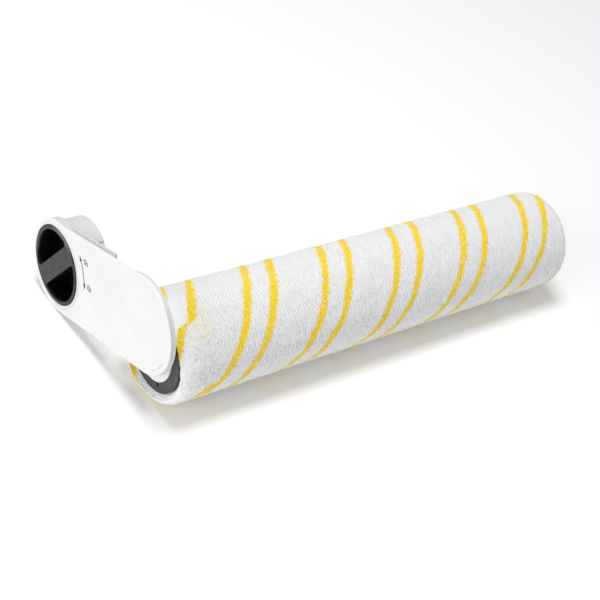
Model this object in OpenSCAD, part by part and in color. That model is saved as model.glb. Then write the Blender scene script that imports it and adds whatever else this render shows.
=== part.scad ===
// One-sided paint roller head: a plush roller turning on a fixed axle, a flat arm at its
// near end, and a quarter-turn lock that holds the arm on a handle.
// The head lies on a level surface, on its roller and on the arm's lock end.

/* [Roller] */
// Length of the nap along the roller's axis
nap_len = 250; // [180:1:270]
// Diameter over the nap
nap_d = 52.6; // [50:0.1:58]
// Outer diameter of the core tube under the nap
core_d = 40.8; // [38:0.1:42]
// Wall thickness of the core tube
core_wall = 1.9; // [1.5:0.1:2.2]
// Rounding of the nap at the arm's end
nap_round_near = 9.2; // [7:0.1:12]
// Rounding of the nap at the free end
nap_round_far = 5.8; // [5:0.1:8]
// How far each end plug sits back inside the nap
plug_recess = 6; // [5:0.5:8]

/* [Axle] */
// Diameter of the steel axle
axle_d = 8; // [8:0.5:8.5]
// Radial running clearance of a plain bush on its shaft
running_gap = 0.05; // [0.02:0.01:0.1]

/* [Arm] */
// Width of the arm and diameter of its round ends
arm_w = 45.8; // [45.4:0.1:46.6]
// Distance between the centres of the arm's round ends
arm_len = 76.6; // [74:0.1:80]
// Distance of the axle from the centre of the lock end, measured along the arm
axle_along = 67.7; // [66:0.1:70]
// Distance of the axle below the arm's centre line
axle_drop = 18.6; // [17:0.1:18.8]
// Height of the lock's axis above the arm's centre line
lock_rise = 1.1; // [0.6:0.1:1.2]
// Distance of the arm's outer face from the end of the nap
face_gap = 5; // [4.8:0.1:5.5]
// Thickness of the front cover
cover_t = 1.2; // [1.2:0.1:1.6]
// Rounding of the front cover's edge
cover_round = 0.6; // [0.3:0.1:0.6]

/* [Lock] */
// Diameter of the knob's face
knob_d = 38.6; // [38.2:0.1:39.2]
// How far the knob stands out of the cover
knob_proud = 0.4; // [0.2:0.1:0.8]
// Width of the grip bar across the knob
bar_w = 9.3; // [9:0.1:11]
// Depth of the finger pockets beside the grip bar
pocket_depth = 11.2; // [10:0.1:11.4]
// Angle that the knob turns between open and closed
lock_turn = 35; // [20:1:45]
// Outer diameter of the coupling boss that the handle fits over
boss_d = 41; // [40.8:0.1:41.6]
// Distance of the coupling boss's rim behind the end of the nap
boss_reach = 12.5; // [12.5:0.1:14]

/* [Hidden] */
$fn = 96;
eps = 0.01;

nap_r = nap_d / 2;
core_r = core_d / 2;
bore_r = core_r - core_wall;
axle_r = axle_d / 2;
arm_r = arm_w / 2;
knob_r = knob_d / 2;
boss_r = boss_d / 2;

// The arm lies down until its lock end touches the same surface as the nap.
axle_reach = norm([axle_along, axle_drop]);
arm_slope = atan2(axle_drop, axle_along) + asin((nap_r - arm_r) / axle_reach);
start_y = sqrt(pow(axle_reach, 2) - pow(nap_r - arm_r, 2));
end_y = start_y - arm_len * cos(arm_slope);

// Origin: the middle of the footprint, on the surface that the head lies on.
mid_x = (nap_len - face_gap - knob_proud) / 2;
mid_y = (start_y + arm_r + min(-nap_r, end_y - arm_r)) / 2;

// Levels across the arm, measured from the end of the nap and outwards from the roller.
cover_top = face_gap;
cover_base = cover_top - cover_t;
edge_base = 2.5;                     // lower level of the rim round the roller's end
frame_base = 0.8;                    // back of the arm frame
frame_floor = 1;                     // thickness of the frame's floor
housing_t = 1.2;                     // thickness of the lock housing's flange
spine_t = 1.4;                       // thickness of the steel spine
spine_base = frame_base + frame_floor + 0.1;
spine_top = spine_base + spine_t;
spine_r = 17.8;                      // half of the spine's width
spine_clear = 24.2;                  // radius of its cut-out round the knob
rear_wall = 4;                       // thickness of the boss's rear wall
rear_inner = -boss_reach + rear_wall;
knob_top = cover_top + knob_proud;
knob_floor_top = knob_top - pocket_depth;
knob_base = rear_inner + 0.4;
rim_base = cover_base + 0.3;
seal_level = rear_inner - rear_wall / 2;

frame_r = 19.8;                      // half of the frame's width
collar_r = boss_r + 1.8;             // radius of the frame and the flange round the lock
strip_r = 20.7;                      // half of the flange's width beyond the lock
gap = 0.4;                           // clearance round the turning knob
cup_r = knob_r - 0.6;                // outer radius of the knob's cup
pocket_r = cup_r - 1;                // outer radius of the finger pockets
pocket_corner = 1.5;
housing_end = 48;                    // length of the lock housing along the arm
nap_relief = nap_r + 1.7;            // radius kept clear round the roller's axis

// Points on the arm, as [along, across] from the lock's axis.
roller_end = [arm_len, -lock_rise];
axle_at = [axle_along, -axle_drop - lock_rise];
housing_screw_at = [[30, 14], [30, -13], [44, 13]];
housing_screw_r = 1.25;
screw_gap = 0.1;                     // radial clearance of a screw in a drilled hole
bracket_lift = 8.5;                  // from the axle to the centre of the bracket's flange
bracket_r = 10;
bracket_screw_angles = [20, 90, 160];
bracket_screw_circle = 6.5;
bracket_screw_r = 1.5;
bracket_t = 3;
cover_posts = [[36, 0], [56, 6], [76, 10]];
post_r = 2;

// Detent of the lock knob.
detent_r = 12;
detent_angle = 100;
ball_r = 1.5;
spring_depth = 3.2;                  // depth of the spring's hole in the rear wall
track_w = 3.8;                       // width of the ball's track under the knob
track_depth = 1.3;

// Lock spindle and cam.
spindle_r = 4;
tail_r = 3;
drive_w = 5;                         // side of the square that drives the cam
cam_t = 2.5;
cam_gap = 0.4;
cam_top = -boss_reach - cam_gap;
cam_base = cam_top - cam_t;
cam_washer_t = 0.5;
cam_screw_r = 1.5;
cam_screw_len = 8;

// Levels along the roller, measured from the near end of the nap.
plug_flange_t = 2;
tube_start = plug_recess + plug_flange_t;
tube_end = nap_len - tube_start;
plug_depth = 14;
hub_r = 8.5;
bush_r = 6;
near_bush_step = 0.8;                // how far the near bush sits back in its hub
thrust_r = 7;
thrust_t = 0.8;
bracket_hub_r = 5.6;
bracket_hub_end = plug_recess - 0.6;
hub_floor = 0.4;                     // closed floor of the bracket's hub, behind the axle
far_bush_start = tube_end - 16;
far_bush_end = tube_end - 8;
far_washer_start = far_bush_end + 0.4;
clip_start = far_bush_end + 1.5;
clip_t = 1;
clip_depth = 0.6;

dust_ring_t = 0.7;
dust_ring_r = 14.7;
dust_ring_inner = 8;

// Marks printed on the front cover.
mark_t = 0.05;
arrow_r = 26.8;
arrow_w = 0.55;
arrow_from = -1;
arrow_to = 24;
head_len = 2.8;
head_w = 2.1;
icon_r = 31.5;
icon_lean = -110;
open_at = 21;
closed_at = -2;

// ---- placing ----

// From the head's own corner, the near end of the nap over the axle, to the origin.
module place() {
  translate([-mid_x, -mid_y, 0]) children();
}

// Roller frame: local X along the roller from the near end of the nap, on its axis.
module on_roller() {
  place() translate([0, 0, nap_r]) children();
}

// Arm frame, on the lock's axis: local X from the lock to the roller's end, local Y across
// towards the upper edge, local Z outwards from the roller, with zero level at the nap's end.
module on_arm() {
  place() translate([0, start_y, arm_r]) rotate([90 - arm_slope, 0, 0]) rotate([0, -90, 0])
    translate([0, lock_rise, 0]) children();
}

// Knob frame: the arm frame turned so that local X runs along the grip bar.
module on_knob() {
  on_arm() rotate([0, 0, lock_turn]) children();
}

// ---- helpers ----

// Points along an arc, from one angle to another.
function arc(centre, r, from, to, steps) =
  [for (i = [0:steps]) let (angle = from + (to - from) * i / steps) centre + r * [cos(angle), sin(angle)]];

// A band of constant width that follows an arc about the origin, with round ends.
module curved_band(r, w, from, to) {
  steps = ceil((to - from) / 4);
  polygon(concat(
    arc([0, 0], r + w / 2, from, to, steps),
    arc(r * [cos(to), sin(to)], w / 2, to + 30, to + 150, 4),
    arc([0, 0], r - w / 2, to, from, steps),
    arc(r * [cos(from), sin(from)], w / 2, from + 210, from + 330, 4)
  ));
}

module disc(low, high, r) {
  translate([0, 0, low]) cylinder(h = high - low, r = r);
}

module ring(low, high, outer, inner) {
  difference() {
    disc(low, high, outer);
    disc(low - eps, high + eps, inner);
  }
}

module along_roller(start, end, r) {
  translate([start, 0, 0]) rotate([0, 90, 0]) cylinder(h = end - start, r = r);
}

module roller_ring(start, end, outer, inner) {
  difference() {
    along_roller(start, end, outer);
    along_roller(start - eps, end + eps, inner);
  }
}

// The arm's outline: two round ends and the straight sides between them.
module arm_outline(r) {
  translate([0, -lock_rise]) circle(r);
  translate(roller_end) circle(r);
  translate([0, -lock_rise - r]) square([arm_len, 2 * r]);
}

// Half of a plate's section, with a round over its upper edge.
module edge_section(r, t, f) {
  square([r - f, t]);
  square([r, t - f]);
  translate([r - f, t - f]) circle(f);
}

// A plate with the arm's outline and a rounded upper edge.
module rounded_plate(r, t, f) {
  translate([0, -lock_rise, 0]) {
    rotate_extrude() edge_section(r, t, f);
    translate([arm_len, 0, 0]) rotate_extrude() edge_section(r, t, f);
    rotate([90, 0, 90]) linear_extrude(arm_len) {
      edge_section(r, t, f);
      mirror([1, 0]) edge_section(r, t, f);
    }
  }
}

module at_bracket_screws() {
  translate(axle_at + [0, bracket_lift])
    for (angle = bracket_screw_angles)
      rotate([0, 0, angle]) translate([bracket_screw_circle, 0, 0]) children();
}

module at_housing_screws() {
  for (spot = housing_screw_at) translate(spot) children();
}

// A countersunk screw, its head flush at the level head and its point at the level tip.
module sunk_screw(head, tip, r) {
  head_r = 1.85 * r;
  translate([0, 0, head]) cylinder(h = head_r - r, r1 = head_r, r2 = r);
  disc(head, tip, r);
}

// ---- arm ----

// Front cover, with the round opening for the knob, a groove round it, a short crease at the
// roller's end, and the posts that clip into the frame.
module arm_cover() {
  groove_w = 0.35;
  groove_depth = 0.3;
  groove_r = 21.1;
  crease_r = 20.1;
  on_arm() color("white") {
    difference() {
      translate([0, 0, cover_base]) rounded_plate(arm_r, cover_t, cover_round);
      disc(cover_base - 1, cover_top + 1, knob_r + gap);
      translate([0, 0, cover_top - groove_depth]) linear_extrude(1) {
        curved_band(groove_r, groove_w, -100, 70);
        translate(roller_end) curved_band(crease_r, groove_w, -68, -36);
      }
    }
    for (spot = cover_posts) translate(spot) disc(spine_base, cover_base + 0.5, post_r);
  }
}

// Moulded tray behind the cover that carries everything on the arm.
module arm_frame() {
  on_arm() color("white") difference() {
    union() {
      translate([0, 0, frame_base]) linear_extrude(cover_base - frame_base) arm_outline(frame_r);
      disc(frame_base, cover_base, collar_r);
      translate(roller_end) disc(edge_base, cover_base, arm_r);
    }
    disc(frame_base - 1, cover_base + 1, cup_r + gap);
    translate([0, 0, frame_base + frame_floor]) linear_extrude(cover_base) spine_outline(0.2);
    at_housing_screws() disc(0, cover_base, housing_screw_r + screw_gap);
    at_bracket_screws() disc(0, cover_base, bracket_screw_r + screw_gap);
  }
}

// The spine's outline, between the knob and the roller's end of the arm, widened by slack.
module spine_outline(slack) {
  difference() {
    arm_outline(spine_r + slack);
    circle(spine_clear - slack);
  }
}

// Steel plate inside the arm that stiffens it and takes the screws.
module arm_spine() {
  on_arm() color("silver") difference() {
    translate([0, 0, spine_base]) linear_extrude(spine_t) spine_outline(0);
    for (spot = cover_posts) translate(spot) disc(0, cover_base, post_r + 0.3);
    at_housing_screws() disc(0, cover_base, housing_screw_r);
    at_bracket_screws() disc(0, cover_base, bracket_screw_r);
  }
}

// Rear housing of the lock: a flange on the arm and the hollow boss for the handle.
module lock_housing() {
  key_w = 4.4;
  key_depth = 0.7;
  key_len = 3.4;
  key_angle = 35;
  seal_r = 6;
  seal_h = 1.9;
  on_arm() color("whitesmoke") difference() {
    union() {
      disc(-boss_reach, frame_base, boss_r);
      disc(frame_base - housing_t, frame_base, collar_r);
      translate([0, 0, frame_base - housing_t]) linear_extrude(housing_t) difference() {
        translate([0, -strip_r]) square([housing_end, 2 * strip_r]);
        translate(axle_at) circle(nap_relief);
      }
    }
    disc(rear_inner, frame_base + 1, cup_r + gap);
    disc(-boss_reach - 1, 0, spindle_r + running_gap);
    disc(seal_level - seal_h / 2, seal_level + seal_h / 2, seal_r);
    at_detent() disc(rear_inner - spring_depth, rear_inner + 1, ball_r + 0.1);
    rotate([0, 0, key_angle]) translate([boss_r - key_depth, -key_w / 2, -boss_reach - 1])
      cube([key_depth + 1, key_w, key_len + 1]);
    at_housing_screws()
      sunk_screw(frame_base - housing_t - eps, frame_base + 1, housing_screw_r + screw_gap);
  }
}

module housing_screws() {
  on_arm() color("gainsboro") at_housing_screws()
    sunk_screw(frame_base - housing_t + 0.05, spine_top - 0.1, housing_screw_r);
}

// ---- marks printed on the cover ----

module printed() {
  on_arm() color("dimgray") translate([0, 0, cover_top]) linear_extrude(mark_t) children();
}

module arrow_head(angle, turn) {
  rotate(angle) translate([arrow_r, 0]) rotate(turn)
    polygon([[-head_w / 2, 0], [head_w / 2, 0], [0, head_len]]);
}

// Curved arrow with two heads: the way the knob turns.
module lock_arrow() {
  printed() {
    curved_band(arrow_r, arrow_w, arrow_from, arrow_to);
    arrow_head(arrow_from + 1, 180);
    arrow_head(arrow_to - 1, 0);
  }
}

// A padlock drawn in outline, its shackle shifted aside when it is open.
module padlock(shift) {
  body_w = 2.5;
  body_h = 1.9;
  line = 0.42;
  shackle_r = 0.8;
  leg = 0.4;
  difference() {
    translate([-body_w / 2, -body_h]) square([body_w, body_h]);
    translate([line - body_w / 2, line - body_h]) square([body_w - 2 * line, body_h - 2 * line]);
  }
  translate([shift, leg]) {
    curved_band(shackle_r, line, 0, 180);
    for (side = shift > 0 ? [-1] : [-1, 1])
      translate([side * shackle_r - line / 2, -leg - eps]) square([line, leg + 2 * eps]);
  }
}

module open_lock_mark() {
  printed() rotate(open_at) translate([icon_r, 0]) rotate(icon_lean) padlock(0.7);
}

module closed_lock_mark() {
  printed() rotate(closed_at) translate([icon_r, 0]) rotate(icon_lean) padlock(0);
}

// ---- detent and seal ----

module at_detent() {
  rotate([0, 0, detent_angle]) translate([detent_r, 0, 0]) children();
}

module detent_ball() {
  on_arm() color("silver") at_detent() translate([0, 0, rear_inner - 0.2]) sphere(ball_r);
}

// Coil spring under the ball, as a stack of wire rings.
module detent_spring() {
  coils = 3;
  coil_r = 1;
  wire_r = 0.25;
  pitch = 1.96 * wire_r;
  on_arm() color("silver") at_detent() translate([0, 0, rear_inner - spring_depth + 0.05])
    for (i = [0:coils - 1]) translate([0, 0, wire_r + i * pitch])
      rotate_extrude() translate([coil_r, 0]) circle(wire_r, $fn = 24);
}

module spindle_seal() {
  seal_w = 1.7;
  on_arm() color("black") translate([0, 0, seal_level])
    rotate_extrude() translate([spindle_r + 0.25 + seal_w / 2, 0]) circle(seal_w / 2, $fn = 32);
}

// ---- axle and its bracket ----

// Cast bracket behind the arm: a flange screwed to the spine and a hub for the axle.
module axle_bracket() {
  on_arm() color("dimgray") difference() {
    union() {
      translate(axle_at + [0, bracket_lift]) disc(frame_base - bracket_t, frame_base, bracket_r);
      translate(axle_at) disc(-bracket_hub_end, frame_base, bracket_hub_r);
    }
    translate(axle_at) disc(-plug_recess, frame_base - hub_floor, axle_r);
    at_bracket_screws()
      sunk_screw(frame_base - bracket_t - eps, frame_base + 1, bracket_screw_r + screw_gap);
  }
}

module bracket_screws() {
  on_arm() color("gainsboro") at_bracket_screws()
    sunk_screw(frame_base - bracket_t + 0.05, spine_top - 0.1, bracket_screw_r);
}

// Steel axle with a groove for its clip and a chamfered free end.
module axle() {
  axle_end = far_bush_end + 4;
  chamfer = 0.8;
  on_roller() color("silver") difference() {
    union() {
      along_roller(hub_floor - frame_base, axle_end - chamfer, axle_r);
      translate([axle_end - chamfer, 0, 0]) rotate([0, 90, 0])
        cylinder(h = chamfer, r1 = axle_r, r2 = axle_r - chamfer);
    }
    roller_ring(clip_start, clip_start + clip_t, axle_r + 1, axle_r - clip_depth);
  }
}

module thrust_washer(start) {
  on_roller() color("silver") roller_ring(start, start + thrust_t, thrust_r, axle_r);
}

module near_thrust_washer() {
  thrust_washer(bracket_hub_end + 0.05);
}

module far_thrust_washer() {
  thrust_washer(far_washer_start);
}

// Open spring clip in the axle's groove.
module axle_clip() {
  clip_r = 6.4;
  mouth = 3.2;
  on_roller() color("gray") difference() {
    roller_ring(clip_start + 0.05, clip_start + clip_t - 0.05, clip_r, axle_r - clip_depth);
    translate([clip_start - 1, -mouth / 2, 0]) cube([clip_t + 2, mouth, clip_r + 1]);
  }
}

// ---- knob ----

// One finger pocket: the part of a circle beyond the grip bar, with rounded corners.
module pocket_area() {
  corner_y = bar_w / 2 + pocket_corner;
  corner_x = sqrt(pow(pocket_r - pocket_corner, 2) - pow(corner_y, 2));
  turn = atan2(corner_y, corner_x);
  polygon(concat(
    arc([corner_x, corner_y], pocket_corner, -90, turn, 6),
    arc([0, 0], pocket_r, turn + 2, 178 - turn, 30),
    arc([-corner_x, corner_y], pocket_corner, 180 - turn, 270, 6)
  ));
}

// The knob: a cup in the boss with two finger pockets and a grip bar between them.
module lock_knob() {
  rim_round = 0.4;
  on_knob() color([0.11, 0.11, 0.12]) difference() {
    union() {
      translate([0, 0, rim_base]) rotate_extrude()
        edge_section(knob_r, knob_top - rim_base, rim_round);
      disc(knob_base, rim_base + eps, cup_r);
    }
    for (side = [0, 180]) rotate([0, 0, side])
      translate([0, 0, knob_floor_top]) linear_extrude(pocket_depth + 1) pocket_area();
    disc(knob_base - 1, 0, tail_r);
    // track that the detent ball runs in as the knob turns
    translate([0, 0, knob_base - 1]) linear_extrude(track_depth + 1)
      curved_band(detent_r, track_w, detent_angle - lock_turn, detent_angle);
  }
}

module knob_washer() {
  washer_r = 8;
  on_knob() color("silver") ring(knob_base - 0.3, knob_base, washer_r, spindle_r + running_gap);
}

// Spindle through the boss's rear wall: a journal, a tail in the knob and a square nose.
module lock_spindle() {
  on_knob() color("silver") difference() {
    union() {
      disc(knob_base - eps, 0, tail_r);
      disc(-boss_reach - 0.2, knob_base, spindle_r);
      translate([-drive_w / 2, -drive_w / 2, cam_base]) cube([drive_w, drive_w, cam_t + cam_gap]);
    }
    disc(cam_base - 1, cam_base + cam_screw_len, cam_screw_r);
  }
}

// Two-winged cam that grips the handle's socket from inside.
module lock_cam() {
  middle_r = 7;
  wing_r = 12;
  wing_w = 9;
  on_knob() color("gray") translate([0, 0, cam_base]) linear_extrude(cam_t) difference() {
    union() {
      circle(middle_r);
      intersection() {
        circle(wing_r);
        square([2 * wing_r, wing_w], center = true);
      }
    }
    square(drive_w, center = true);
  }
}

module cam_washer() {
  on_knob() color("silver") ring(cam_base - cam_washer_t, cam_base, 5, cam_screw_r + screw_gap);
}

// Cap screw that holds the cam on the spindle.
module cam_screw() {
  head_r = 2.8;
  head_t = 1.8;
  socket_r = 1.3;
  socket_depth = 1;
  seat = cam_base - cam_washer_t;
  on_knob() color("gainsboro") {
    difference() {
      disc(seat - head_t, seat, head_r);
      disc(seat - head_t - 1, seat - head_t + socket_depth, socket_r, $fn = 6);
    }
    disc(seat - eps, cam_base + cam_screw_len, cam_screw_r);
  }
}

// ---- roller ----

// The plush sleeve: a plain solid with the nap's outer shape and its overhang at both ends.
module nap_cover() {
  lip_r = core_r + 0.2;
  on_roller() color("ivory") rotate([0, 90, 0]) rotate_extrude() difference() {
    intersection() {
      square([nap_r, nap_len]);
      union() {
        translate([nap_r - nap_round_near, nap_round_near]) circle(nap_round_near);
        translate([nap_r - nap_round_far, nap_len - nap_round_far]) circle(nap_round_far);
        translate([0, nap_round_near]) square([nap_r, nap_len - nap_round_near - nap_round_far]);
        square([nap_r - nap_round_near, nap_len]);
        translate([0, nap_len / 2]) square([nap_r - nap_round_far, nap_len / 2]);
      }
    }
    translate([-1, -1]) square([core_r + 1, nap_len + 2]);
    translate([-1, -1]) square([lip_r + 1, tube_start + 1]);
    translate([-1, tube_end]) square([lip_r + 1, tube_start + 1]);
  }
}

module core_tube() {
  on_roller() color("beige") roller_ring(tube_start, tube_end, core_r, bore_r);
}

// An end plug with its flange at zero and its spigot and hub along local X.
module end_plug(hub_depth) {
  wall = 2;
  rib_t = 1.6;
  spanner_circle = 16.5;
  spanner_r = 0.9;
  difference() {
    union() {
      along_roller(0, plug_flange_t, core_r - 0.1);
      roller_ring(0, plug_flange_t + plug_depth, bore_r, bore_r - wall);
      along_roller(0, hub_depth, hub_r);
      // ribs between the hub and the spigot
      for (angle = [0:60:300]) rotate([angle, 0, 0])
        translate([0, hub_r - 1, -rib_t / 2]) cube([plug_depth - wall, bore_r - hub_r, rib_t]);
    }
    // blind holes for the spanner that pulls the plug
    for (angle = [27:90:297]) rotate([-angle, 0, 0]) translate([0, -spanner_circle, 0])
      along_roller(-1, 1.2, spanner_r);
  }
}

module near_end_plug() {
  on_roller() color([0.22, 0.21, 0.21]) translate([plug_recess, 0, 0]) difference() {
    end_plug(plug_depth);
    along_roller(-1, plug_depth + 1, bush_r);
    along_roller(-1, near_bush_step, hub_r - 0.8);
  }
}

module far_end_plug() {
  cap_t = 2.4;
  on_roller() color([0.22, 0.21, 0.21]) translate([nap_len - plug_recess, 0, 0])
    mirror([1, 0, 0]) difference() {
      end_plug(nap_len - plug_recess - far_bush_start);
      along_roller(tube_end - far_bush_end - 1, nap_len, bush_r);
      along_roller(cap_t, nap_len - plug_recess - far_bush_end, hub_r - 0.8);
    }
}

module near_bush() {
  on_roller() color("ivory") roller_ring(plug_recess + near_bush_step, plug_recess + plug_depth,
    bush_r, axle_r + running_gap);
}

module far_bush() {
  on_roller() color("ivory")
    roller_ring(far_bush_start, far_bush_end, bush_r, axle_r + running_gap);
}

// White ring on the near plug's face that keeps paint out of the bearing.
module dust_ring() {
  on_roller() color("white")
    roller_ring(plug_recess - dust_ring_t, plug_recess, dust_ring_r, dust_ring_inner);
}

arm_cover();
arm_frame();
arm_spine();
lock_housing();
housing_screws();
lock_arrow();
open_lock_mark();
closed_lock_mark();
detent_ball();
detent_spring();
spindle_seal();
axle_bracket();
bracket_screws();
axle();
near_thrust_washer();
far_thrust_washer();
axle_clip();
lock_knob();
knob_washer();
lock_spindle();
lock_cam();
cam_washer();
cam_screw();
nap_cover();
core_tube();
near_end_plug();
far_end_plug();
near_bush();
far_bush();
dust_ring();
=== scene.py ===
"""Looks for a one-sided paint roller head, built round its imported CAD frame."""
import math

import bpy
import numpy as np
from mathutils import Matrix, Vector


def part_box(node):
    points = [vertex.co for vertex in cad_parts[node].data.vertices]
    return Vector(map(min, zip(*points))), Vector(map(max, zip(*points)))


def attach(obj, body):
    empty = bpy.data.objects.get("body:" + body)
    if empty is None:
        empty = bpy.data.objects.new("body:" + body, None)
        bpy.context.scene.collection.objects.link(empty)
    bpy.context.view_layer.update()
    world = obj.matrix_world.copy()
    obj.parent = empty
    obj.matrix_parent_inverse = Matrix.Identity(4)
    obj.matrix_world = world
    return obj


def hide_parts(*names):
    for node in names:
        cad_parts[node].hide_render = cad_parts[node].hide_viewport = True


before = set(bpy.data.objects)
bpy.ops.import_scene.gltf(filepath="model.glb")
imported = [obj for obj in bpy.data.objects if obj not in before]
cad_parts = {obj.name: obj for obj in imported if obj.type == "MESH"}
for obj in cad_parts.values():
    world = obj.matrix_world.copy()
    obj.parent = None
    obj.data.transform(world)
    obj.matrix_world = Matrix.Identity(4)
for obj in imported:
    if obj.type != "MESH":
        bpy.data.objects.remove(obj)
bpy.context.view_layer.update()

MM = 0.001
SEED = 20

# ---- sizes and places read from the frame ----

nap_low, nap_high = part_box("nap_cover")
tube_low, tube_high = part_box("core_tube")
knob_low, knob_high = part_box("lock_knob")

NEAR_X = nap_low.x                                # the nap's end at the arm
NAP_LEN = nap_high.x - NEAR_X
NAP_R = (nap_high.z - nap_low.z) / 2
AXIS = Vector((0, (nap_low.y + nap_high.y) / 2, (nap_low.z + nap_high.z) / 2))
CORE_R = (tube_high.z - tube_low.z) / 2
RECESS = tube_low.x - NEAR_X                      # from the nap's end to the core tube
KNOB_R = (knob_high.z - knob_low.z) / 2
KNOB_CENTRE = Vector((knob_low.x, (knob_low.y + knob_high.y) / 2, (knob_low.z + knob_high.z) / 2))


# ---- shader helper ----


class Shader:
    """A material on one Principled shader, with short calls for the nodes that feed it. The scale
    of a noise is about the number of its waves in a metre."""

    def __init__(self, name, **constants):
        self.material = bpy.data.materials.new(name)
        self.material.use_nodes = True
        self.tree = self.material.node_tree
        self.surface = self.tree.nodes["Principled BSDF"]
        for socket, value in constants.items():
            self.surface.inputs[socket.replace("_", " ")].default_value = value

    def node(self, kind, **settings):
        made = self.tree.nodes.new("ShaderNode" + kind)
        for key, value in settings.items():
            setattr(made, key, value)
        return made

    def feed(self, socket, value):
        if isinstance(value, bpy.types.NodeSocket):
            self.tree.links.new(value, socket)
        else:
            socket.default_value = value

    def place(self, scale=(1, 1, 1)):
        """Object coordinates, stretched along the axes."""
        made = self.node("Mapping")
        self.feed(made.inputs["Vector"], self.node("TexCoord").outputs["Object"])
        made.inputs["Scale"].default_value = scale
        return made.outputs["Vector"]

    def facing(self):
        """The three parts of the surface's normal, along the object's axes."""
        return self.split(self.node("TexCoord").outputs["Normal"])

    def stored(self, name, part="Fac"):
        return self.node("Attribute", attribute_name=name).outputs[part]

    def split(self, vector):
        made = self.node("SeparateXYZ")
        self.feed(made.inputs[0], vector)
        return made.outputs

    def sum(self, operation, first, second=0.0, third=0.0):
        made = self.node("Math", operation=operation)
        for socket, value in zip(made.inputs, (first, second, third)):
            self.feed(socket, value)
        return made.outputs[0]

    def away(self, value, middle):
        """How far a value is from a middle one, either way."""
        return self.sum("ABSOLUTE", self.sum("SUBTRACT", value, middle))

    def swing(self, value, size):
        """A value from 0 to 1, turned into one that swings round 0 by half that size."""
        return self.sum("MULTIPLY", self.sum("SUBTRACT", value, 0.5), size)

    def noise(self, vector, scale, detail=2.0, roughness=0.5):
        made = self.node("TexNoise")
        self.feed(made.inputs["Vector"], vector)
        made.inputs["Scale"].default_value = scale
        made.inputs["Detail"].default_value = detail
        made.inputs["Roughness"].default_value = roughness
        return made.outputs["Fac"]

    def remap(self, value, low, high, to_low=0.0, to_high=1.0, smooth=False):
        made = self.node("MapRange", interpolation_type="SMOOTHSTEP" if smooth else "LINEAR")
        for socket, number in zip(made.inputs, (value, low, high, to_low, to_high)):
            self.feed(socket, number)
        return made.outputs[0]

    def between(self, noise, to_low, to_high):
        """Stretches the middle of a noise, where most of it lies, over a range."""
        return self.remap(noise, 0.3, 0.7, to_low, to_high)

    def mix(self, factor, first, second):
        made = self.node("Mix", data_type="RGBA")
        factor_socket, first_socket, second_socket = made.inputs[0], made.inputs[6], made.inputs[7]
        self.feed(factor_socket, factor)
        self.feed(first_socket, first)
        self.feed(second_socket, second)
        return made.outputs[2]

    def colour(self, value):
        self.feed(self.surface.inputs["Base Color"], value)

    def rough(self, value):
        self.feed(self.surface.inputs["Roughness"], value)

    def bump(self, height, depth):
        """Adds a relief of that depth, in metres, over any that is there."""
        made = self.node("Bump")
        made.inputs["Distance"].default_value = depth
        self.feed(made.inputs["Height"], height)
        below = self.surface.inputs["Normal"]
        if below.is_linked:
            self.feed(made.inputs["Normal"], below.links[0].from_socket)
        self.feed(below, made.outputs["Normal"])


def grey(value, warmth=0.0):
    return (value * (1 + warmth), value, value * (1 - warmth), 1)


def mottled(colour, share):
    """A colour that is darker by that share, and the colour itself."""
    return tuple(part * (1 - share) for part in colour[:3]) + (1,), colour


# ---- materials ----


def moulded_plastic(name, colours, roughness, grain=900, grain_depth=0.02 * MM, facing_painted_light=None):
    """Injection-moulded plastic: fine spark-eroded grain, slow flow marks, and a few dull spots.
    Its colour and its roughness each wander between two values. Faces that look against one of the
    object's axes can get a painted light or painted shade colour, for how light falls on them:
    facing_painted_light gives the axis, the part of the normal along it where that colour starts and
    where it is complete, and the colour."""
    flow_scale = 60
    dull_scale = 140
    s = Shader(name)
    where = s.place()
    flow = s.noise(where, flow_scale, detail=3)
    face = s.mix(s.remap(flow, 0.35, 0.65), *colours)
    # painted light or painted shade on the faces that look against the given axis
    if facing_painted_light:
        axis, start, full, painted_colour = facing_painted_light
        face = s.mix(s.remap(s.facing()[axis], start, full, smooth=True), face, painted_colour)
    s.colour(face)
    s.rough(s.between(s.noise(where, dull_scale, detail=3), *roughness))
    s.bump(s.noise(where, grain, detail=2, roughness=0.6), grain_depth)
    s.bump(flow, 0.06 * MM)
    return s.material


def brushed_steel():
    """Drawn steel: fine lines along the roller's axis, and faint dull patches."""
    lines_along, lines_across = 40, 1600        # in a metre
    s = Shader("steel", Metallic=1.0)
    lines = s.noise(s.place((lines_along, lines_across, lines_across)), 1, detail=3)
    s.colour(s.mix(s.noise(s.place(), 220, detail=3), grey(0.52), grey(0.68)))
    s.rough(s.between(lines, 0.3, 0.42))
    s.bump(lines, 0.0015 * MM)
    return s.material


def dark_casting():
    """Grey paint over a cast surface."""
    s = Shader("dark_casting")
    where = s.place()
    s.colour(s.mix(s.noise(where, 300, detail=4), grey(0.028), grey(0.05)))
    s.rough(s.between(s.noise(where, 500), 0.42, 0.6))
    s.bump(s.noise(where, 1100, detail=3), 0.05 * MM)
    return s.material


def ink():
    """Printed ink, a little uneven."""
    s = Shader("mark_ink")
    where = s.place()
    s.colour(s.mix(s.noise(where, 900, detail=3), grey(0.004), grey(0.014)))
    s.rough(s.between(s.noise(where, 600), 0.5, 0.7))
    s.bump(s.noise(where, 2500), 0.01 * MM)
    return s.material


def rubber():
    """Black rubber with a fine bloom."""
    s = Shader("seal_rubber")
    where = s.place()
    s.colour(s.mix(s.noise(where, 500, detail=3), grey(0.012), grey(0.03)))
    s.rough(s.between(s.noise(where, 700), 0.5, 0.7))
    s.bump(s.noise(where, 1800, detail=3), 0.03 * MM)
    return s.material


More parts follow.
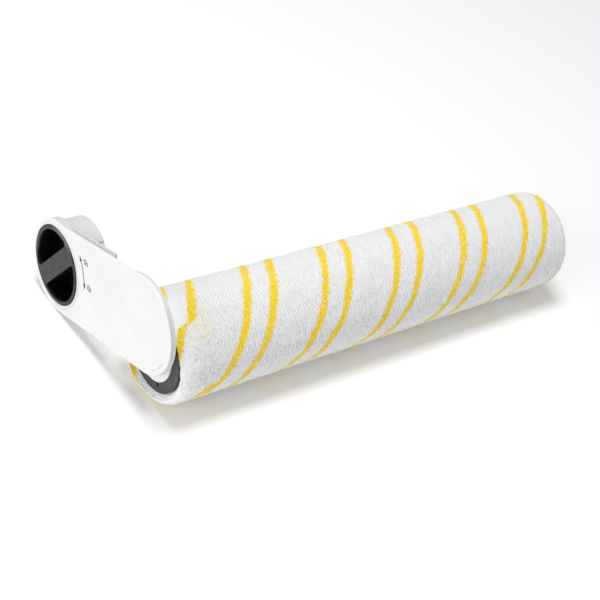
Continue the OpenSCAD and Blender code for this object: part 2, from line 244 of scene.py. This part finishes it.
def stripe_mask(s, where, pile, along, around):
    """1 on the yellow stripes and 0 between them: two pairs of helices, ragged at their edges."""
    pair_pitch = 44.4 * MM          # along the roller, from one pair of stripes to the next
    pair_gap = 14.6 * MM            # from the first stripe of a pair to the second
    pair_start = 11.6 * MM          # where the first stripe of a pair runs in its lane
    stripe_half = 2.2 * MM
    feather = 0.7 * MM
    half_turn = math.pi * NAP_R     # half the way round, from under the roller to its top
    turn_rise = pair_pitch / half_turn
    first_at = 27.5 * MM            # where a first stripe crosses the side away from the knob
    side_at = 1.5 * half_turn
    jog_size = 4.5 * MM             # the step in the stripes next to the arm

    run = s.sum("MULTIPLY_ADD", around, turn_rise, along)
    run = s.sum("ADD", run, pair_start - first_at - turn_rise * side_at)
    jog_start = s.remap(around, 1.135 * half_turn, 1.165 * half_turn, smooth=True)
    jog_end = s.remap(around, 1.99 * half_turn, 1.84 * half_turn, smooth=True)
    jog_turn = s.sum("MULTIPLY", jog_start, jog_end)
    jog_along = s.remap(along, 24 * MM, 17 * MM, 0.0, jog_size, smooth=True)
    run = s.sum("ADD", run, s.sum("MULTIPLY", jog_turn, jog_along))

    ragged = s.swing(pile, 3.0 * MM)
    teeth = s.swing(s.noise(where, 750, detail=3, roughness=0.7), 5.5 * MM)
    wander = s.swing(s.noise(where, 90), 2.5 * MM)
    run = s.sum("ADD", run, s.sum("ADD", ragged, s.sum("ADD", teeth, wander)))

    lane = s.sum("FLOORED_MODULO", run, pair_pitch)
    nearest = s.sum("MINIMUM", s.away(lane, pair_start), s.away(lane, pair_start + pair_gap))
    return s.remap(nearest, stripe_half + feather, stripe_half - feather, smooth=True)


def stain_mask(s, where, along, around):
    """The beige patch near the arm: an uneven oval, 1 in its middle."""
    stain_at = 16 * MM
    stain_side = 1.17 * math.pi * NAP_R
    half_long = 10 * MM
    half_round = 12 * MM
    off_along = s.sum("DIVIDE", s.sum("SUBTRACT", along, stain_at), half_long)
    off_around = s.sum("DIVIDE", s.sum("SUBTRACT", around, stain_side), half_round)
    off = s.sum("MULTIPLY_ADD", off_along, off_along, s.sum("POWER", off_around, 2.0))
    patches = s.remap(s.noise(where, 120, detail=3), 0.35, 0.6)
    return s.sum("MULTIPLY", s.remap(off, 1.0, 0.1, smooth=True), patches)


def plush():
    """White microfibre pile with pairs of yellow stripes that wind along it, with painted shade where
    the pile is low and painted light near its end at the arm. The nap's mesh stores the height of its
    pile, and how far each point is along the nap and round it."""
    s = Shader("nap_plush", Sheen_Weight=0.35, Sheen_Roughness=0.5, Specular_IOR_Level=0.15)
    along, around, _ = s.split(s.stored("wrap", "Vector"))
    pile = s.stored("pile")
    where = s.place()
    fine = s.noise(where, 1500, detail=2, roughness=0.6)

    painted_shade_white, top_white = (0.5, 0.5, 0.505, 1), (0.95, 0.95, 0.955, 1)
    tip_white, lip_painted_light_white = grey(0.96), grey(0.97)
    beige = (0.93, 0.8, 0.42, 1)
    stain_strength = 0.35
    # painted shade: the white darkens where the pile is low, between its tufts
    white = s.mix(s.remap(pile, 0.1, 0.7), painted_shade_white, top_white)
    white = s.mix(s.remap(fine, 0.35, 0.65, 0.0, 0.25), white, tip_white)
    stain = stain_mask(s, where, along, around)
    white = s.mix(s.sum("MULTIPLY", stain, stain_strength), white, beige)
    # painted light: the nap whitens over its last 20 mm at the arm's end, in place of the shade there
    white = s.mix(s.remap(along, 20 * MM, 5 * MM, 0.0, 0.9), white, lip_painted_light_white)

    painted_shade_yellow, top_yellow = (0.76, 0.5, 0.003, 1), (1.0, 0.75, 0.012, 1)
    pale_yellow = (0.97, 0.85, 0.3, 1)
    # painted shade: the yellow darkens where the pile is low
    yellow = s.mix(s.remap(pile, 0.15, 0.75), painted_shade_yellow, top_yellow)
    pale_tufts = s.remap(s.noise(where, 900, detail=2), 0.51, 0.65, 0.0, 0.5)
    yellow = s.mix(pale_tufts, yellow, pale_yellow)

    s.colour(s.mix(stripe_mask(s, where, pile, along, around), white, yellow))
    s.rough(s.between(fine, 0.85, 0.97))
    s.bump(fine, 0.12 * MM)
    return s.material


def knob_plastic():
    """Black moulding with a fine grain, with painted shade down in its pockets, darker than its face.
    Fine ridges round the rim carry a painted highlight on one side only, and a painted highlight line
    follows part of the rim's inner edge."""
    rim_r = KNOB_R - 1.6 * MM       # the face ends and the rim starts here
    ridge_r = KNOB_R - 1.2 * MM     # the ridges start here
    edge_r = rim_r + 0.1 * MM       # middle of the painted highlight line
    ridges = 96
    ridge_highlight_at = math.radians(98)     # middle of the painted highlight on the ridges, from +Y towards +Z
    edge_highlight_at = math.radians(60)      # middle of the painted highlight line's length
    s = Shader("black_knob", Specular_IOR_Level=0.35)
    where = s.place()
    x, y, z = s.split(where)
    depth = s.sum("SUBTRACT", x, KNOB_CENTRE.x)
    y = s.sum("SUBTRACT", y, KNOB_CENTRE.y)
    z = s.sum("SUBTRACT", z, KNOB_CENTRE.z)
    radius = s.sum("SQRT", s.sum("MULTIPLY_ADD", y, y, s.sum("MULTIPLY", z, z)))
    angle = s.sum("ARCTAN2", z, y)

    on_rim = s.remap(radius, rim_r, rim_r + 0.3 * MM)
    ridge = s.remap(s.sum("SINE", s.sum("MULTIPLY", angle, ridges)), -0.2, 0.7)
    # painted highlight: the ridges are pale only on one side of the knob
    on_ridge_highlight = s.remap(s.away(angle, ridge_highlight_at), 0.6, 0.25, smooth=True)
    on_ridges = s.remap(radius, ridge_r, ridge_r + 0.2 * MM)
    ridge = s.sum("MULTIPLY", s.sum("MULTIPLY", ridge, on_ridge_highlight), on_ridges)
    # painted highlight: a pale line along part of the rim's inner edge
    edge_length = s.remap(s.away(angle, edge_highlight_at), 1.3, 1.1, 0.0, 0.7)
    edge_width = s.remap(s.away(radius, edge_r), 0.28 * MM, 0.08 * MM)
    on_edge_highlight = s.sum("MULTIPLY", edge_length, edge_width)

    face_black, rim_black, pocket_painted_shade = grey(0.02, 0.02), grey(0.014, 0.02), grey(0.002)
    ridge_highlight_grey, edge_highlight_grey = grey(0.3), grey(0.18)
    face = s.mix(on_rim, face_black, rim_black)
    face = s.mix(ridge, face, ridge_highlight_grey)
    face = s.mix(on_edge_highlight, face, edge_highlight_grey)
    # painted shade: the colour darkens to near black down in the pockets, with a little random
    # variation
    above_pocket_shade = s.remap(depth, 0.5 * MM, 1.6 * MM, 1.0, 0.0, smooth=True)
    above_pocket_shade_mottled = s.sum("MULTIPLY", above_pocket_shade, s.between(s.noise(where, 260, detail=4), 0.8, 1.0))
    s.colour(s.mix(above_pocket_shade_mottled, pocket_painted_shade, face))
    s.rough(s.between(s.noise(where, 300, detail=3), 0.4, 0.52))
    s.bump(s.noise(where, 1500, detail=2, roughness=0.6), 0.025 * MM)
    return s.material


X_AXIS, Y_AXIS = 0, 1
ARM_END_WALL_PAINTED_SHADE = (Y_AXIS, -0.3, -0.8, grey(0.6))        # painted shade: the cover's wall at the roller's end, greyer than its face
FRONT_FACES_PAINTED_LIGHT = (X_AXIS, -0.6, -0.9, grey(0.97))     # painted light: the frame's and the housing's front, whiter than their sides where the cover's shadow falls
COVER_WHITES = (grey(0.8), grey(0.83))
# painted shade: the frame and the housing are greyer than the cover's white, for the shade on their
# walls
FRAME_PAINTED_SHADE_GREYS = (grey(0.68), grey(0.71))
PLUG_GREYS = mottled(grey(0.045, 0.04), 0.15)
CORE_CREAMS = mottled((0.8, 0.76, 0.68, 1), 0.06)
BUSH_WHITES = mottled((0.88, 0.87, 0.84, 1), 0.04)

WHITE_SHELL = moulded_plastic("white_shell", COVER_WHITES, (0.32, 0.44), facing_painted_light=ARM_END_WALL_PAINTED_SHADE)
PAINTED_SHADE_SHELL = moulded_plastic("grey_shell", FRAME_PAINTED_SHADE_GREYS, (0.35, 0.46), facing_painted_light=FRONT_FACES_PAINTED_LIGHT)
BLACK_KNOB = knob_plastic()
DARK_PLUG = moulded_plastic("dark_plug", PLUG_GREYS, (0.45, 0.56), grain=700, grain_depth=0.04 * MM)
CORE_PLASTIC = moulded_plastic("core_plastic", CORE_CREAMS, (0.5, 0.61))
BUSH_PLASTIC = moulded_plastic("bush_plastic", BUSH_WHITES, (0.35, 0.46))
STEEL = brushed_steel()
CASTING = dark_casting()
PLUSH = plush()
INK = ink()
RUBBER = rubber()


def dress(material, *names, soften=0.0):
    """Gives CAD nodes a material and, where asked, softly rounded edges."""
    for name in names:
        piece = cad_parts[name]
        piece.material_slots[0].material = material
        if soften:
            weld = piece.modifiers.new("weld", "WELD")
            weld.merge_threshold = 0.002 * MM
            edges = piece.modifiers.new("soft_edges", "BEVEL")
            edges.width = soften
            edges.segments = 3
            edges.limit_method = "ANGLE"
            edges.angle_limit = math.radians(35)
            edges.harden_normals = True


dress(WHITE_SHELL, "arm_cover")
# painted shade: the frame and the housing take the greyer copy of the white plastic
dress(PAINTED_SHADE_SHELL, "arm_frame", "lock_housing")
dress(INK, "lock_arrow", "open_lock_mark", "closed_lock_mark")
dress(STEEL, "arm_spine", "housing_screws", "detent_ball", "detent_spring", "bracket_screws", "axle")
dress(STEEL, "near_thrust_washer", "far_thrust_washer", "axle_clip")
dress(STEEL, "knob_washer", "lock_spindle", "lock_cam", "cam_washer", "cam_screw")
dress(RUBBER, "spindle_seal")
dress(CASTING, "axle_bracket")
dress(BLACK_KNOB, "lock_knob", soften=0.25 * MM)
dress(CORE_PLASTIC, "core_tube")
dress(DARK_PLUG, "near_end_plug", "far_end_plug")
dress(BUSH_PLASTIC, "near_bush", "far_bush", "dust_ring")


# ---- new objects ----


def new_object(name, data):
    made = bpy.data.objects.new(name, data)
    bpy.context.scene.collection.objects.link(made)
    return made


# ---- the nap ----

CELL = 0.5 * MM                     # spacing of the pile's points
CORD_PITCH = 1.15 * MM              # from one row of tufts to the next
CORD_LEN = 2.3 * MM                 # about the length of a tuft along its row
CORD_LEAN = math.radians(6)         # between a row of tufts and the way round the roller
PILE_DEPTH = 0.58 * MM
LUMP_DEPTH = 0.07 * MM
TUFT_DEPTH = 0.05 * MM
SINK = 0.1 * MM                     # lowers the whole pile, so that few lumps leave the CAD nap
ROUND_NEAR = 9.2 * MM               # rounding of the nap's outer edge at the arm
ROUND_FAR = 5.8 * MM
LIP_R = CORE_R + 0.2 * MM
LIP_FLAT = 0.6 * MM                 # from the core tube's end to where the lip's rounding starts
CREST_ROUND = 0.9 * MM              # rounding of the near lip's crest
FLARE_SIDE = math.radians(190)      # the side where the near lip flares most, from +Y towards +Z

# Angles in degrees in the nap's section, from pointing along the roller towards pointing outward
OUTWARD = 90
LIP_START = 239                     # where the crest's rounding starts, inside the lip
CREST_WIDE = 124                    # where the crest is, on the side where the lip flares most
CREST_NARROW = 146                  # and on the side where it flares least

CORNERS = ((0, 0), (1, 0), (1, 1), (0, 1))      # a face's corners, in steps along and round the grid


def arc_points(centre, radius, start, end, count=40):
    angles = np.radians(np.linspace(start, end, count))
    return [(centre[0] + radius * math.cos(a), centre[1] + radius * math.sin(a)) for a in angles]


def nap_section(crest_at, rows):
    """The nap's section in even steps from inside one end to inside the other. Each step has the way
    run, counted from the nap's end along the straight part, its distance from that end, and radius.
    The near end's lip flares out to a crest at that many degrees round the end's section."""
    near_centre = (ROUND_NEAR, NAP_R - ROUND_NEAR)
    far_centre = (NAP_LEN - ROUND_FAR, NAP_R - ROUND_FAR)
    [crest_centre] = arc_points(near_centre, ROUND_NEAR - CREST_ROUND, crest_at, crest_at, 1)
    far_end = math.degrees(math.asin((LIP_R - far_centre[1]) / ROUND_FAR))
    points = [(RECESS, LIP_R), (RECESS - LIP_FLAT, LIP_R)]
    points += arc_points(crest_centre, CREST_ROUND, LIP_START, crest_at)
    points += arc_points(near_centre, ROUND_NEAR, crest_at, OUTWARD)
    shoulder = len(points) - 1
    points += arc_points(far_centre, ROUND_FAR, OUTWARD, far_end)
    points += [(NAP_LEN - RECESS, LIP_R)]
    points = np.array(points)
    run = np.concatenate([[0], np.cumsum(np.linalg.norm(np.diff(points, axis=0), axis=1))])
    steps = np.linspace(0, run[-1], rows)
    way = steps - run[shoulder] + ROUND_NEAR
    return np.stack([way, np.interp(steps, run, points[:, 0]), np.interp(steps, run, points[:, 1])])


class PileGrid:
    """Random heights on the nap's grid of points, which close on themselves round the roller."""

    def __init__(self, rng, rows, columns, step_around):
        self.rng = rng
        self.shape = (rows, columns)
        self.across = np.fft.fftfreq(rows, CELL)[:, None]
        self.around = np.fft.fftfreq(columns, step_around)[None, :]

    def filtered(self, keep):
        """White noise of which each wave is kept by that share, scaled to a spread of 1."""
        waves = np.fft.fft2(self.rng.standard_normal(self.shape)) * keep
        field = np.fft.ifft2(waves).real
        return field / field.std()

    def cords(self):
        """Heights of rows of tufts, 0 to 1."""
        middle, spread = 0.5, 0.22
        pitch_spread = 0.45 / CORD_PITCH
        length_spread = 1.5 / CORD_LEN
        f_across = self.across * math.cos(CORD_LEAN) - self.around * math.sin(CORD_LEAN)
        f_along = self.across * math.sin(CORD_LEAN) + self.around * math.cos(CORD_LEAN)
        keep = np.exp(-(((np.abs(f_across) - 1 / CORD_PITCH) / pitch_spread) ** 2))
        keep *= np.exp(-((f_along / length_spread) ** 2))
        return np.clip(middle + spread * self.filtered(keep), 0, 1)

    def lumps(self, size):
        """Slow heights, with lumps of about that size."""
        return self.filtered(np.exp(-((self.across**2 + self.around**2) * size**2)))


def pile_relief(grid, way, along):
    """The pile's stored heights, 0 to 1, and how far each point stands out from the section."""
    lumps_wide = 6 * MM
    tufts_wide = 1.6 * MM
    calm_end = 3 * MM               # the relief dies out over this length at the nap's inner ends
    fluff_at = 15 * MM              # the pile is fluffier round here
    fluff_wide = 8 * MM
    fluff_depth = 0.3               # and deeper by this share
    pile = grid.cords()
    lumps = grid.lumps(lumps_wide)
    tufts = grid.lumps(tufts_wide)
    from_end = np.minimum(way - way[0], way[-1] - way)
    fluff = np.exp(-(((along - fluff_at) / fluff_wide) ** 2))
    height = PILE_DEPTH * (pile - 1) * (1 + fluff_depth * fluff)
    height = height + LUMP_DEPTH * lumps + TUFT_DEPTH * (1 + fluff) * tufts - SINK
    return pile, height * np.clip(from_end / calm_end, 0, 1)


def wound_mesh(name, points):
    """A smooth mesh over a grid of points that closes on itself both ways. Also gives the ring and
    the column of the point where each face starts."""
    rings, columns = points.shape[:2]
    ring, column = np.divmod(np.arange(rings * columns), columns)
    corners = [(ring + down) % rings * columns + (column + right) % columns for down, right in CORNERS]
    faces = np.stack(corners, axis=1)
    mesh = bpy.data.meshes.new(name)
    mesh.vertices.add(rings * columns)
    mesh.vertices.foreach_set("co", points.ravel())
    mesh.loops.add(faces.size)
    mesh.loops.foreach_set("vertex_index", faces.ravel())
    mesh.polygons.add(len(faces))
    mesh.polygons.foreach_set("loop_start", np.arange(0, faces.size, len(CORNERS)))
    mesh.polygons.foreach_set("use_smooth", np.ones(len(faces), bool))
    mesh.update(calc_edges=True)
    return mesh, ring, column


def make_nap():
    """The whole nap as one closed mesh: a grid wound round the roller, closed through its bore. Its
    points store the pile's height, and its corners the way along and round the nap."""
    rng = np.random.default_rng(SEED)
    rows = int((NAP_LEN + 2 * ROUND_NEAR) / CELL)
    columns = int(2 * math.pi * NAP_R / CELL)
    step_around = 2 * math.pi * NAP_R / columns
    angle = np.linspace(0, 2 * math.pi, columns, endpoint=False) - math.pi / 2
    flare = 0.5 + 0.5 * np.cos(angle - FLARE_SIDE)
    wide, narrow = nap_section(CREST_WIDE, rows), nap_section(CREST_NARROW, rows)
    way, along, radius = (
        flare * most[:, None] + (1 - flare) * least[:, None] for most, least in zip(wide, narrow)
    )
    tangent = np.stack([np.gradient(along, axis=0), np.gradient(radius, axis=0)])
    tangent /= np.linalg.norm(tangent, axis=0)
    outward = np.stack([-tangent[1], tangent[0]])
    grid = PileGrid(rng, rows, columns, step_around)
    pile, height = pile_relief(grid, way, along)

    bore = np.array([[NAP_LEN - RECESS, CORE_R], [RECESS, CORE_R]])
    bore_along, bore_radius = (np.repeat(part[:, None], columns, axis=1) for part in bore.T)
    x = NEAR_X + np.concatenate([along + height * outward[0], bore_along])
    r = np.concatenate([radius + height * outward[1], bore_radius])
    points = np.stack([x, AXIS.y + r * np.cos(angle), AXIS.z + r * np.sin(angle)], axis=2)

    mesh, ring, column = wound_mesh("nap", points)
    stored = np.zeros(points.shape[:2], np.float32)
    stored[:rows] = pile
    mesh.attributes.new("pile", "FLOAT", "POINT").data.foreach_set("value", stored.ravel())
    run = np.concatenate([way, np.zeros_like(bore_along)])
    wrap = np.zeros((len(ring), len(CORNERS), 3), np.float32)
    for corner, (down, right) in enumerate(CORNERS):
        wrap[:, corner, 0] = run[(ring + down) % len(run), (column + right) % columns]
        wrap[:, corner, 1] = (column + right) * step_around
    mesh.attributes.new("wrap", "FLOAT_VECTOR", "CORNER").data.foreach_set("vector", wrap.ravel())
    mesh.materials.append(PLUSH)
    mesh.validate()

    nap = new_object("nap", mesh)
    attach(nap, "roller")
    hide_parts("nap_cover")


make_nap()


# ---- fine teeth round the knob ----


def make_teeth():
    """A thin ring of grip teeth in the gap round the knob, that turns with it."""
    teeth = 100
    steps = 4 * teeth               # two for each crest and two for each valley
    inner = KNOB_R - 0.35 * MM
    valley = KNOB_R - 0.02 * MM
    crest = KNOB_R + 0.32 * MM
    front = KNOB_CENTRE.x + 0.1 * MM
    back = KNOB_CENTRE.x + 1.1 * MM
    points = []
    for step in range(steps):
        angle = 2 * math.pi * step / steps
        outer = crest if step % 4 < 2 else valley
        for x, radius in ((front, inner), (front, outer), (back, outer), (back, inner)):
            y = KNOB_CENTRE.y + radius * math.cos(angle)
            z = KNOB_CENTRE.z + radius * math.sin(angle)
            points.append((x, y, z))
    faces = []
    for step in range(steps):
        here = 4 * step
        there = 4 * ((step + 1) % steps)
        for corner in range(4):
            beside = (corner + 1) % 4
            faces.append((here + corner, here + beside, there + beside, there + corner))
    mesh = bpy.data.meshes.new("knob_teeth")
    mesh.from_pydata(points, [], faces)
    mesh.materials.append(BLACK_KNOB)
    ring = new_object("knob_teeth", mesh)
    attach(ring, "knob")


make_teeth()


# ---- floor, light and camera ----


def make_floor():
    half = 8.0
    corners = [(-half, -half, 0), (half, -half, 0), (half, half, 0), (-half, half, 0)]
    mesh = bpy.data.meshes.new("floor")
    mesh.from_pydata(corners, [], [(0, 1, 2, 3)])
    s = Shader("floor", Roughness=0.9, Emission_Color=(1, 1, 1, 1), Emission_Strength=0.08)
    s.colour(s.mix(s.noise(s.place(), 3), (0.94, 0.945, 0.95, 1), (0.955, 0.96, 0.965, 1)))
    mesh.materials.append(s.material)
    floor = new_object("floor", mesh)


def area_light(name, place, target, size, power):
    light = bpy.data.lights.new(name, "AREA")
    light.shape = "DISK"
    light.size = size
    light.energy = power
    holder = new_object(name, light)
    holder.location = place
    holder.rotation_euler = (Vector(target) - Vector(place)).to_track_quat("-Z", "Y").to_euler()


def make_light():
    world = bpy.data.worlds.new("studio")
    world.use_nodes = True
    background = world.node_tree.nodes["Background"]
    background.inputs["Color"].default_value = (1, 1, 1, 1)
    background.inputs["Strength"].default_value = 0.4
    bpy.context.scene.world = world
    area_light("key", place=(-0.22, 0.07, 1.3), target=(0, 0, 0), size=0.5, power=10)
    area_light("side", place=(-1.3, -0.2, 0.5), target=(-0.1, 0, 0.03), size=1.0, power=6)


def make_camera():
    """The photograph's view: from the arm's side, above the roller, a little rolled."""
    azimuth, elevation, roll = (math.radians(a) for a in (45.78, 37.69, 15.81))
    distance = 0.625
    target = Vector((NEAR_X + 90 * MM, AXIS.y + 4 * MM, AXIS.z))
    level = math.cos(elevation)
    forward = Vector((math.sin(azimuth) * level, math.cos(azimuth) * level, -math.sin(elevation)))
    side = forward.cross(Vector((0, 0, 1))).normalized()
    above = side.cross(forward)
    right = side * math.cos(roll) + above * math.sin(roll)
    up = above * math.cos(roll) - side * math.sin(roll)
    data = bpy.data.cameras.new("camera")
    data.lens = 78
    data.sensor_width = 36
    data.clip_end = 20
    camera = new_object("camera", data)
    turn = Matrix((right, up, -forward)).transposed()
    camera.matrix_world = Matrix.Translation(target - forward * distance) @ turn.to_4x4()
    bpy.context.scene.camera = camera


make_floor()
make_light()
make_camera()
bpy.context.scene.view_settings.view_transform = "Standard"

bpy.context.view_layer.update()
